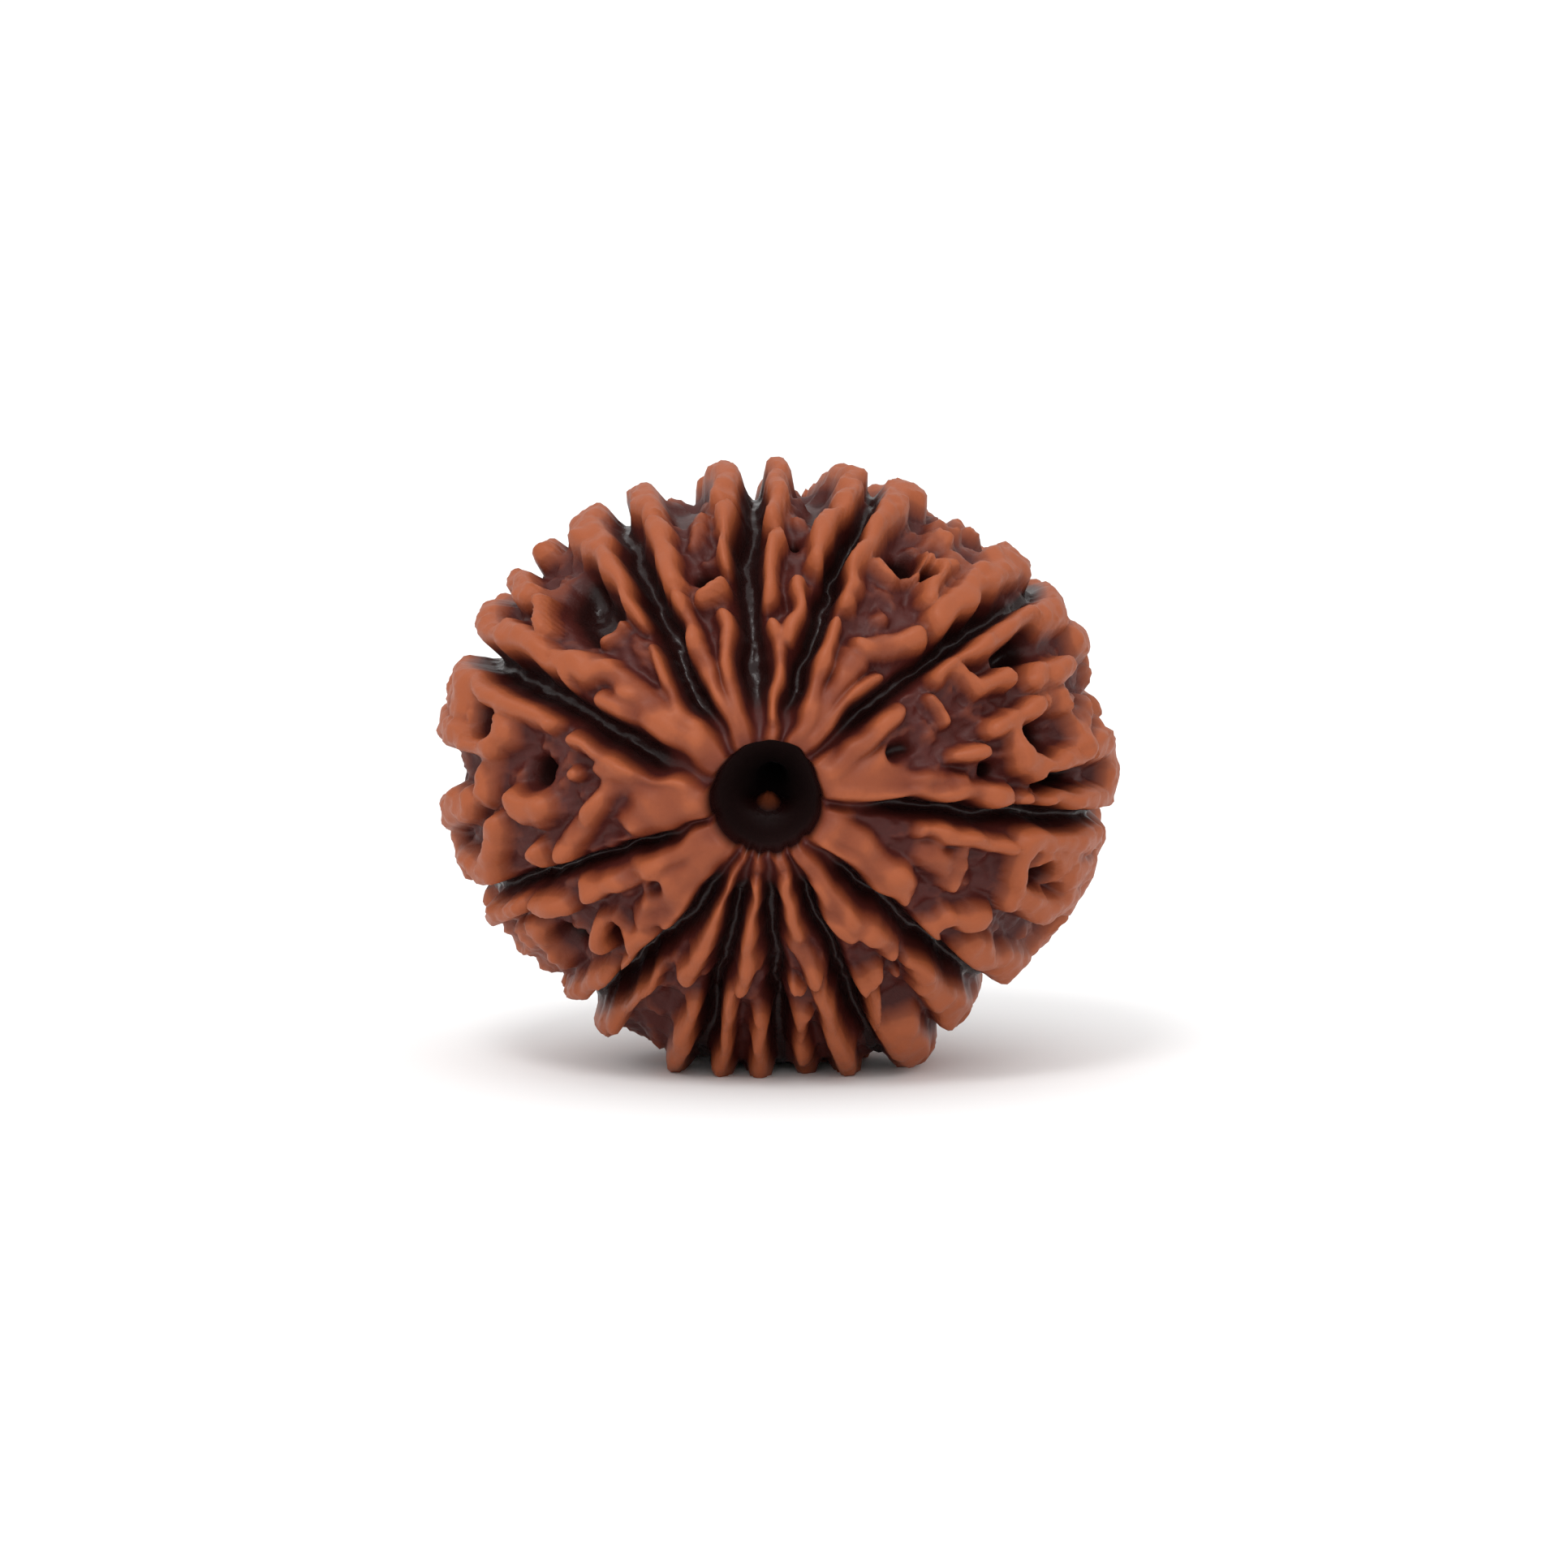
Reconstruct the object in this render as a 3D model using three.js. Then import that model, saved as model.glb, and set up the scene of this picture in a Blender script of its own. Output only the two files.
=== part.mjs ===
// A rudraksha bead with twelve faces: one whole seed stone, standing on its rim with its hole level.
// Millimetres. X is to the right, Y runs through the hole from front to back, and Z is up.
// A place on the bead is [lon, colat] in degrees. lon runs anticlockwise round the hole from the right,
// as seen from the front. colat runs from the front hole at 0, over the belt at 90, to the back hole at 180.

import * as THREE from "three";
import { mergeVertices } from "three/addons/utils/BufferGeometryUtils.js";

const { degToRad, lerp, smoothstep, euclideanModulo } = THREE.MathUtils;

// Driving dimensions of the whole bead
const WIDTH = 26.0;
const HEIGHT = 23.2;
const LENGTH = 20.4;
const FLAT_DEPTH = 1.0; // how much of the rim's lowest knobs is worn flat where the bead rests

// Relief: crests rise from the core's surface, grooves and pits are cut into it
const FLOOR_RISE = 0.45; // ground between the crests of a face, beside the hole and on the belt
const FLOOR_BELT = 0.65;
const PETAL_RISE = 1.3; // crests beside the hole
const BELT_RISE = 1.75; // knobs round the belt, worn down to one level from KNOB_RISE
const KNOB_RISE = 2.1;
const COLLAR_RISE = 1.1; // smooth ring round each mouth of the hole
const COLLAR_COLAT = 11;
const COLLAR_SPREAD = 6;
const GROOVE_DEPTH = 0.5;
const GROOVE_MOUTH = 0.6; // the grooves rise to shallow dips in the collar and on the belt
const GROOVE_BELT = [1.3, 0.1]; // for the narrowest and the widest groove, whose half widths come next
const GROOVE_WIDE = [0.24, 0.48];
const GROOVE_THIN = 0.5; // and narrow there to these shares of their width
const GROOVE_BELT_THIN = 0.7;
const RIPPLE = 0.2; // share by which knobs on a crest are taller or shorter
const RIPPLE_WAVES = [2.3, 2.7, 2.5]; // radians a millimetre along X, Y and Z
const RIPPLE_SHIFTS = [0.6, 1.1, 2];
const WEAR = 8; // how suddenly the wear of a top sets in
const BELT_SPREAD = 1.15; // how much wider a crest is on the belt than beside the hole
const SKIRT_RISE = 0.4; // a crest's foot spreads out, as shares of its height and half width
const SKIRT_HALF = 2.2;
const FAR_TWIST = 4; // degrees by which the far half is turned
const FAR_CHANGE = 0.12; // share by which a crest on the far half is taller or shorter, by turns
const FAR_TURN = 2.4;

// Between these colats the relief eases from one size to the next
const COLLAR_EASE = [12, 26]; // grooves, from the collar to the faces
const RISE_EASE = [30, 75]; // crests, from beside the hole to the belt
const BELT_EASE = [60, 85]; // widths and grooves, from the faces to the belt
const FOOT_EASE = [55, 80]; // the spot that the bead stands on, out to the belt
const FOOT_LOW = [0.8, 0.93]; // where that spot starts and is full, 1 being the rim's lowest point
const BEND_COLATS = [20, 50, 85]; // a groove's own bends, at the collar, half way and on the belt
const TWIST_EASE = [92, 125];
const GROOVE_COLATS = [6, 20, 35, 50, 67, 85, 95, 113, 130, 145, 160, 174];

// The hole: a steep throat inside each mouth, a narrow canal between, and a stump of fibre on its floor
const THROAT_SHARE = 0.82; // of the mouth's radius
const THROAT_DEPTH = 1.6; // below the core's pole
const CANAL_RADIUS = 0.65;
const CANAL_DEPTH = 4.6;
const STUMP_RISE = 0.4;
const STUMP_LON = 262;
const STUMP_SPREAD = 60;

// The surface grid
const OUTER_ROWS = 40;
const ROW_GATHER = 0.3; // how much closer the rows are half way to the belt, where the knobs and pits are
const COLUMN_MIN = 0.3; // least and most width between columns on the belt
const COLUMN_MAX = 0.95;
const SHOULDER = 0.5; // columns run along both shoulders and both feet of a crest, as shares of its half
const FOOT = 1.3;
const BELT_COLAT = 80; // a crest that ends past this colat crosses the belt
const LEG_STEPS = 3; // straight steps in each leg of a crest's path

// A crest of full height, a lower bump, and a pit, each along a path of places. half is half its width.
const crest = (half, ...path) => ({ half, path });
const bump = (half, rise, ...path) => ({ half, rise, path });
const pit = (half, depth, ...path) => ({ half, depth, path });

// The twelve faces, each between its own groove and the next one round. groove gives the groove's lon at
// the collar, half way and at the belt, and wide is half its width. mouth is the colat of the hole's edge.
const FACES = [
  {
    groove: [45, 42, 37.5],
    wide: 0.34,
    mouth: 12.3,
    crests: [
      crest(0.42, [66, 15], [69, 25], [71, 38]),
      bump(0.55, 1.2, [61, 15], [60, 33]),
      crest(0.42, [54, 15], [51, 24], [50, 32]),
      crest(0.45, [60, 37], [55, 39], [49, 44.5]),
      bump(0.5, 0.6, [60, 46.5]),
      crest(0.55, [71, 46], [72, 53], [71, 62], [69, 72], [67.5, 92]),
      bump(0.35, 1.3, [67, 57], [62, 56.5], [58.5, 60], [57.5, 68]),
      crest(0.35, [53.5, 54], [54, 63]),
      bump(0.6, 2.1, [47.5, 51], [47.5, 62], [46, 74], [43.5, 92]),
      bump(0.6, 1.2, [58, 74], [57, 84]),
      bump(0.8, 1.35, [52.5, 58], [53, 70]),
    ],
    pits: [pit(0.42, 1.0, [62.7, 61], [62, 65]), pit(0.25, 0.9, [56, 61.5])],
  },
  {
    groove: [77, 75.5, 72],
    wide: 0.34,
    mouth: 12.2,
    crests: [
      crest(0.32, [86, 17], [86, 30], [87.5, 36]),
      crest(0.3, [84, 34], [82, 40], [82.5, 47]),
      crest(0.38, [89.3, 42], [89.5, 50], [88.5, 60]),
      crest(0.4, [89.8, 64], [89.5, 90]),
      crest(0.4, [80, 53], [79.5, 62], [77.5, 72], [76, 92]),
      bump(0.4, 0.9, [84, 66]),
    ],
    pits: [pit(0.22, 0.7, [85.5, 61]), pit(0.4, 0, [82.6, 74], [82.3, 94])],
  },
  {
    groove: [95.5, 95.5, 94],
    wide: 0.46,
    mouth: 11.8,
    crests: [
      crest(0.42, [113, 15], [113, 25], [113.5, 35], [113, 46]),
      crest(0.42, [107, 15], [104.5, 27], [102.5, 39]),
      crest(0.38, [107, 45], [101.5, 47]),
      crest(0.45, [112.5, 50], [112.5, 68]),
      crest(0.5, [113, 73], [114, 94]),
      crest(0.4, [99.5, 53], [98.7, 68]),
      crest(0.45, [98.5, 73], [98.8, 94]),
      bump(0.5, 0.9, [105.5, 62], [104.5, 70]),
    ],
    pits: [pit(0.3, 0.6, [105.5, 53]), pit(0.5, 0, [107.5, 76], [107.5, 94])],
  },
  {
    groove: [122, 118.5, 119],
    wide: 0.4,
    mouth: 11,
    crests: [
      crest(0.55, [140, 16], [145, 26], [148, 37.5]),
      crest(0.5, [137, 18], [139, 30], [140, 38]),
      bump(0.8, 1.15, [137, 15], [138, 28]),
      crest(0.36, [132, 20], [129, 30], [126, 35], [123.8, 39]),
      crest(0.55, [140, 41], [144.5, 47], [148, 54], [148.5, 64], [150.5, 76], [152, 92]),
      crest(0.45, [149.5, 47]),
      crest(0.35, [143.5, 60], [139.5, 68]),
      crest(0.45, [141, 74], [141.5, 90]),
      crest(0.45, [123, 46.5], [122.5, 54], [124.5, 64]),
      crest(0.65, [124.5, 64], [125.5, 78], [126, 94]),
      bump(0.3, 1.0, [135, 47.5], [129.5, 48.5]),
    ],
    pits: [pit(0.75, 0.8, [133, 54], [132, 66])],
  },
  {
    groove: [159, 154.5, 157],
    wide: 0.48,
    mouth: 11.2,
    crests: [
      crest(0.9, [185, 15], [188, 24]),
      crest(0.48, [199, 42], [194, 38], [184, 31]),
      crest(0.5, [168, 15], [166.5, 25], [163.5, 33], [162, 39]),
      bump(0.5, 1.2, [172, 26], [170, 32]),
      bump(0.9, 1.1, [178, 14], [177, 28]),
      bump(0.35, 1.1, [175, 38]),
      crest(0.48, [199, 49]),
      crest(0.75, [187, 46.5], [185.5, 51.5]),
      crest(0.48, [161, 46], [162, 56], [161.5, 72], [162, 92]),
      bump(0.6, 1.4, [184, 62], [176, 61.5]),
      crest(0.45, [173, 60], [172.5, 74], [172, 90]),
      bump(0.6, 2.0, [167, 76], [166, 90]),
      bump(1.0, 1.5, [166.5, 59], [166.5, 74]),
      crest(0.6, [186, 68], [190, 88]),
      crest(0.5, [201, 68], [196, 62.5], [191, 59]),
      bump(0.5, 2.0, [201, 68], [198, 88]),
    ],
    pits: [pit(0.55, 1.0, [176, 49]), pit(0.36, 1.2, [168, 63.5], [168, 66.5])],
  },
  {
    groove: [205, 205.5, 206],
    wide: 0.24,
    mouth: 11.6,
    crests: [
      crest(0.65, [226, 15], [233, 24], [235.5, 33]),
      crest(0.6, [228, 22], [229, 36]),
      crest(0.45, [216, 15], [214, 26], [214, 35], [212, 42]),
      bump(0.9, 1.15, [222, 15], [222, 27]),
      crest(0.5, [233.5, 40], [235.5, 50]),
      crest(0.42, [227, 49.5], [222, 44]),
      bump(0.3, 1.1, [232, 42], [224, 41.5]),
      crest(0.45, [214, 50], [210.5, 56.5]),
      crest(0.42, [233, 57], [232, 70], [232, 86]),
      bump(0.7, 1.5, [217, 65], [218, 88]),
      bump(0.8, 1.2, [224, 70], [225, 86]),
      crest(0.36, [209.5, 62], [211, 86]),
    ],
    pits: [
      pit(0.25, 1.0, [231, 46.5], [229, 46]),
      pit(0.5, 0.8, [222, 61]),
      pit(0.3, -0.5, [224, 29]),
    ],
  },
  {
    groove: [244, 238, 235],
    wide: 0.34,
    mouth: 12.2,
    crests: [
      crest(0.42, [247, 16], [249, 25], [249.5, 36], [248.5, 46]),
      crest(0.38, [253.3, 56], [253.5, 86]),
      crest(0.4, [241, 50], [239.8, 64], [239.5, 86]),
    ],
    pits: [],
  },
  {
    groove: [257, 257, 258],
    wide: 0.32,
    mouth: 12.6,
    crests: [
      crest(0.33, [264, 19], [263.5, 30], [263.5, 46]),
      crest(0.3, [260.5, 49], [260.7, 62], [261.5, 86]),
      crest(0.33, [268, 56], [267.5, 68], [267.5, 88]),
    ],
    pits: [],
  },
  {
    groove: [271.5, 271.5, 271],
    wide: 0.34,
    mouth: 12.4,
    crests: [
      crest(0.33, [282, 17], [280, 25], [280, 35], [281.5, 43]),
      crest(0.3, [278.5, 46], [275.5, 44.5]),
      crest(0.36, [282.3, 48], [282.8, 60], [282, 86]),
      bump(0.35, 1.3, [277, 55], [275.5, 66], [276, 86]),
    ],
    pits: [],
  },
  {
    groove: [289, 288, 288],
    wide: 0.3,
    mouth: 11.8,
    crests: [
      crest(0.45, [301, 15], [299.5, 25], [302, 35], [304, 43]),
      crest(0.4, [296, 20], [294.5, 29], [297, 35]),
      crest(0.38, [305.8, 49.5], [306, 54]),
      crest(0.6, [305, 58], [304.5, 72], [303.5, 88]),
      crest(0.33, [298, 46.5], [293, 47.5], [289.8, 50.5]),
      crest(0.28, [293, 54], [290.8, 63]),
      crest(0.25, [301, 51]),
      crest(0.75, [295, 66], [294, 88]),
    ],
    pits: [],
  },
  {
    groove: [312, 311, 310.5],
    wide: 0.34,
    mouth: 11.3,
    crests: [
      crest(0.5, [318, 15], [317, 24], [318, 34]),
      crest(0.6, [335, 15], [328, 23], [322, 33]),
      bump(0.8, 1.15, [324, 15], [321, 28]),
      crest(0.33, [345, 30.5], [345.5, 40], [344.5, 50.5]),
      bump(0.75, 1.1, [337, 34], [334, 40]),
      bump(0.35, 1.2, [341, 40], [330, 42]),
      crest(0.55, [325.5, 53], [322.5, 49]),
      crest(0.42, [321, 46], [315, 44], [313.5, 47]),
      crest(0.5, [346.5, 54], [347, 66], [346.5, 86]),
      crest(0.45, [346, 54], [339.5, 54], [335, 57]),
      crest(0.6, [332, 58], [331, 68], [334, 88]),
      crest(0.6, [339, 74], [340, 90]),
      bump(0.95, 1.5, [341, 62], [342, 74]),
      bump(0.7, 1.9, [316.5, 58], [317, 72], [317.7, 90]),
    ],
    pits: [pit(0.36, 1.2, [338.3, 61.5], [338.2, 63.5])],
  },
  {
    groove: [354, 352, 351],
    wide: 0.32,
    mouth: 10.6,
    crests: [
      crest(0.42, [385, 13], [392, 19], [397, 31]),
      crest(1.0, [372, 14], [370, 23]),
      crest(0.5, [362, 13], [359.5, 24], [359, 36], [357.5, 48]),
      bump(0.45, 1.0, [366, 28], [363, 38]),
      bump(0.8, 1.1, [378, 13], [378, 22]),
      bump(0.28, 1.1, [394, 38], [384, 38]),
      crest(0.3, [372.5, 37], [372, 43]),
      crest(0.4, [398, 42], [398.5, 48], [397, 54]),
      crest(0.4, [398, 46], [393, 46.5], [389.5, 47.5], [387.5, 54.5]),
      crest(0.42, [377.5, 46], [377, 52], [378.5, 58]),
      crest(0.5, [377, 52], [371, 51.5], [366, 52], [363.5, 58], [364, 66], [367, 73]),
      bump(0.6, 1.3, [379, 64], [376, 72]),
      bump(0.7, 1.4, [371, 72], [371, 82]),
      bump(0.55, 2.1, [397, 56], [396, 66], [393, 76], [390.5, 92]),
      crest(0.5, [384, 62], [382.5, 73]),
      crest(0.4, [356, 53]),
      crest(0.4, [356, 59], [356.3, 66], [355, 76], [355.5, 92]),
      crest(0.6, [365, 78], [363.5, 92]),
    ],
    pits: [
      pit(0.3, 0.2, [380.5, 26], [380.5, 29]),
      pit(0.42, 1.3, [372, 60], [369.5, 60]),
      pit(0.4, 0.9, [390.5, 60], [390.5, 69]),
      pit(0.25, 0.9, [360.5, 58], [359.8, 72]),
      pit(0.3, 0.7, [365.5, 45.5]),
    ],
  },
];

// The core is the ellipsoid that the crests stand on. Its half axes leave room for them.
const CORE = new THREE.Vector3(
  WIDTH / 2 - BELT_RISE,
  LENGTH / 2 - COLLAR_RISE,
  HEIGHT / 2 - BELT_RISE,
);

function corePoint([lon, colat]) {
  const across = Math.sin(degToRad(colat));
  return new THREE.Vector3(
    CORE.x * across * Math.cos(degToRad(lon)),
    -CORE.y * Math.cos(degToRad(colat)),
    CORE.z * across * Math.sin(degToRad(lon)),
  );
}

function coreNormal(point) {
  return new THREE.Vector3(point.x / CORE.x ** 2, point.y / CORE.y ** 2, point.z / CORE.z ** 2).normalize();
}

// A groove's lon at any colat. It runs from hole to hole, and its far half is turned a little.
function grooveLon([collar, middle, belt], colat) {
  const near = Math.min(colat, 180 - colat);
  const [first, second, third] = BEND_COLATS;
  const inner = (middle - collar) * smoothstep(near, first, second);
  const outer = (belt - middle) * smoothstep(near, second, third);
  return collar + inner + outer + FAR_TWIST * smoothstep(colat, ...TWIST_EASE);
}

// Where a face begins and ends at that colat, with lon counted up from its own groove
function faceSpan(number, colat) {
  const start = grooveLon(FACES[number].groove, colat);
  const next = FACES[(number + 1) % FACES.length].groove;
  return [start, start + euclideanModulo(grooveLon(next, colat) - start, 360)];
}

function lonInFace(number, share, colat) {
  const [start, end] = faceSpan(number, colat);
  return lerp(start, end, share);
}

// The far face has the near face's crests, each turned end for end across its own face.
function onFarFace(number, path) {
  return path.map(([lon, colat]) => {
    const [start, end] = faceSpan(number, colat);
    return [lonInFace(number, (end - lon) / (end - start), 180 - colat), 180 - colat];
  });
}

// A path as short straight lines close to the core's surface, and the box that its slopes stay inside
function stroke(half, path) {
  const stops = [corePoint(path[0])];
  for (let leg = 1; leg < path.length; leg += 1) {
    const [from, to] = [path[leg - 1], path[leg]];
    for (let step = 1; step <= LEG_STEPS; step += 1) {
      stops.push(corePoint([0, 1].map((axis) => lerp(from[axis], to[axis], step / LEG_STEPS))));
    }
  }
  const lines = stops.map((stop, index) => new THREE.Line3(stops[Math.max(index - 1, 0)], stop));
  const box = new THREE.Box3().setFromPoints(stops).expandByScalar(SLOPE_END * BELT_SPREAD * half);
  return { half, lines, box };
}

// A section with steep sides: 1 along its middle, half way down at 1. A crest's section has a skirt as well.
const SLOPE_END = 4;
const STEEPNESS = 3;
const dome = (distance) => Math.exp(-Math.LN2 * distance ** STEEPNESS);
const ridge = (distance) => Math.max(dome(distance), SKIRT_RISE * Math.exp(-((distance / SKIRT_HALF) ** 2)));

// The lowest stretch of the rim reaches further out, to the level where the bead stands.
function footAt(lon, near) {
  return FLAT_DEPTH * smoothstep(-Math.sin(degToRad(lon)), ...FOOT_LOW) * smoothstep(near, ...FOOT_EASE);
}

// Tops that stand highest are worn down to one level.
const worn = (height) => height / (1 + (height / BELT_RISE) ** WEAR) ** (1 / WEAR);

// Knobs along the crests, as three crossing waves
function rippleAt(point) {
  const wave = (place, axis) => Math.sin(RIPPLE_WAVES[axis] * place + RIPPLE_SHIFTS[axis]);
  return 1 + RIPPLE * point.toArray().map(wave).reduce((product, value) => product * value);
}

// Every crest and cut of both faces, as lines with their half width
const crests = [];
const cuts = [];
const grooves = [];
FACES.forEach((face, number) => {
  for (const { half, rise, path } of face.crests) {
    const change = 1 + FAR_CHANGE * Math.sin(FAR_TURN * crests.length);
    crests.push({ rise, share: 1, ...stroke(half, path) });
    crests.push({ rise, share: change, ...stroke(half, onFarFace(number, path)) });
  }
  for (const { half, depth, path } of face.pits) {
    cuts.push({ depth, ...stroke(half, path) });
    cuts.push({ depth, ...stroke(half, onFarFace(number, path)) });
  }
  grooves.push(stroke(face.wide, GROOVE_COLATS.map((colat) => [grooveLon(face.groove, colat), colat])));
});

// How much of a stroke is felt at a point, where the stroke is spread times as wide as it is drawn
const closest = new THREE.Vector3();
function feltAt(point, { half, lines, box }, section, spread = 1) {
  if (!box.containsPoint(point)) return 0;
  const lengths = lines.map((line) => line.closestPointToPoint(point, true, closest).distanceTo(point));
  return section(Math.min(...lengths) / (half * spread));
}

// Height of the surface above the core. Crests that meet run into each other, and cuts go through crests.
const BLEND = 6;
function heightAt(point, lon, colat) {
  const near = Math.min(colat, 180 - colat);
  const collar = COLLAR_RISE * dome(Math.abs(near - COLLAR_COLAT) / COLLAR_SPREAD);
  const belt = smoothstep(near, ...BELT_EASE);
  const floor = lerp(FLOOR_RISE, FLOOR_BELT, belt);
  const crestRise = lerp(PETAL_RISE, KNOB_RISE, smoothstep(near, ...RISE_EASE));
  const spread = lerp(1, BELT_SPREAD, belt);
  let raised = floor ** BLEND + collar ** BLEND;
  for (const line of crests) {
    raised += (line.share * (line.rise ?? crestRise) * feltAt(point, line, ridge, spread)) ** BLEND;
  }
  let height = worn(raised ** (1 / BLEND) * rippleAt(point));
  for (const cut of cuts) height = lerp(height, -cut.depth, feltAt(point, cut, dome));
  const out = smoothstep(near, ...COLLAR_EASE);
  const thin = lerp(lerp(GROOVE_THIN, 1, out), GROOVE_BELT_THIN, belt);
  for (const groove of grooves) {
    const onBelt = lerp(...GROOVE_BELT, smoothstep(groove.half, ...GROOVE_WIDE));
    const bottom = lerp(lerp(GROOVE_MOUTH, -GROOVE_DEPTH, out), onBelt, belt);
    height = lerp(height, Math.min(height, bottom), feltAt(point, groove, dome, thin));
  }
  return height + footAt(lon, near);
}

// Columns of the grid: one in each groove, then along shoulders and feet of the crests that cross the belt
function columnShares(number) {
  const [start, end] = faceSpan(number, 90);
  const width = degToRad(end - start) * Math.sqrt(CORE.x * CORE.z);
  const crossing = FACES[number].crests.filter(({ path }) => path.at(-1)[1] > BELT_COLAT);
  const wanted = crossing.flatMap(({ half, path }) => {
    const middle = (path.at(-1)[0] - start) / (end - start);
    return [-FOOT, -SHOULDER, SHOULDER, FOOT].map((side) => middle + (side * half * BELT_SPREAD) / width);
  });
  const shares = [0];
  for (const share of [...wanted.sort((a, b) => a - b), 1]) {
    const gap = (share - shares.at(-1)) * width;
    if (gap < COLUMN_MIN || (share < 1 && (1 - share) * width < COLUMN_MIN)) continue;
    const steps = Math.ceil(gap / COLUMN_MAX);
    const from = shares.at(-1);
    for (let step = 1; step <= steps; step += 1) shares.push(lerp(from, share, step / steps));
  }
  return shares.slice(0, -1);
}
const columns = FACES.flatMap((_, number) => columnShares(number).map((share) => ({ number, share })));

// The hole's edge eases from one face's mouth to the next.
function mouthColat(number, share) {
  const { mouth } = FACES[number];
  const beside = FACES[euclideanModulo(number + (share < 0.5 ? -1 : 1), FACES.length)].mouth;
  return lerp(mouth, (mouth + beside) / 2, smoothstep(Math.abs(share - 0.5), 0, 0.5));
}

// Rows of the grid: over the outside from mouth to mouth, then home through the canal
const outerRows = Array.from({ length: OUTER_ROWS + 1 }, (_, row) => ({ along: row / OUTER_ROWS }));
const throat = { y: CORE.y - THROAT_DEPTH, wide: THROAT_SHARE };
const canal = { y: CORE.y - CANAL_DEPTH, wide: 0 };
const rows = [...outerRows, throat, canal, { ...canal, y: -canal.y, stump: 1 }, { ...throat, y: -throat.y }];

function outsidePoint({ number, share }, { along }) {
  const edge = mouthColat(number, share);
  const gathered = along + (ROW_GATHER * Math.sin(4 * Math.PI * along)) / (4 * Math.PI);
  const colat = lerp(edge, 180 - edge, gathered);
  const lon = lonInFace(number, share, colat);
  const point = corePoint([lon, colat]);
  const height = heightAt(point, lon, colat);
  return { point: point.addScaledVector(coreNormal(point), height), height };
}

function canalPoint({ number, share }, { y, wide, stump = 0 }) {
  const lon = lonInFace(number, share, 0);
  const mouth = CORE.x * Math.sin(degToRad(mouthColat(number, share)));
  const narrow = CANAL_RADIUS - stump * STUMP_RISE * dome(Math.abs(lon - STUMP_LON) / STUMP_SPREAD);
  const radius = wide ? wide * mouth : narrow;
  const point = new THREE.Vector3(radius * Math.cos(degToRad(lon)), y, radius * Math.sin(degToRad(lon)));
  return { point, height: 0 };
}

// Each four-sided cell is split between its two corners that are most alike in height, so crests stay whole.
function turnDiagonals(index, heights) {
  for (let cell = 0; cell < index.count; cell += 6) {
    const [a, b, d, , c] = index.array.subarray(cell, cell + 6);
    const straight = Math.abs(heights[b] - heights[d]) <= Math.abs(heights[a] - heights[c]);
    if (!straight) index.array.set([a, b, c, a, c, d], cell);
  }
}

// The bead is a closed grid, sized to its box. The rim's lowest knobs are flat where it stands.
function beadGeometry() {
  const grid = new THREE.PlaneGeometry(1, 1, columns.length, rows.length);
  const { position } = grid.attributes;
  const across = columns.length + 1;
  const heights = [];
  for (let index = 0; index < position.count; index += 1) {
    const column = columns[(index % across) % columns.length];
    const row = rows[Math.floor(index / across) % rows.length];
    const { point, height } = row.y === undefined ? outsidePoint(column, row) : canalPoint(column, row);
    position.setXYZ(index, point.x, point.y, point.z);
    heights.push(height);
  }
  turnDiagonals(grid.index, heights);
  grid.deleteAttribute("normal");
  grid.deleteAttribute("uv");
  const closed = mergeVertices(grid);
  closed.computeBoundingBox();
  const size = closed.boundingBox.getSize(new THREE.Vector3());
  const middle = closed.boundingBox.getCenter(new THREE.Vector3());
  closed.translate(-middle.x, -middle.y, 0);
  closed.scale(WIDTH / size.x, LENGTH / size.y, HEIGHT / 2 / closed.boundingBox.max.z);
  closed.translate(0, 0, HEIGHT / 2);
  for (let index = 0; index < closed.attributes.position.count; index += 1) {
    closed.attributes.position.setZ(index, Math.max(closed.attributes.position.getZ(index), 0));
  }
  closed.computeVertexNormals();
  return closed;
}

const bead = new THREE.Mesh(
  beadGeometry(),
  new THREE.MeshStandardMaterial({ color: 0x99553b, roughness: 0.5, metalness: 0 }),
);
bead.name = "bead";

const part = new THREE.Group();
part.add(bead);

export default part;
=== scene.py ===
# %% [markdown]
# # A rudraksha bead
# This lesson builds the looks of one natural bead: the stone of a fruit, with deep grooves from hole to
# hole and knobbly crests between them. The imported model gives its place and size. The bead stands on its
# rim, its hole runs along Y, and its front hole faces the camera.

# %% Load the frame
import math
from dataclasses import dataclass

import bmesh
import bpy
import numpy as np
from mathutils import Matrix, Vector, noise


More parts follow.
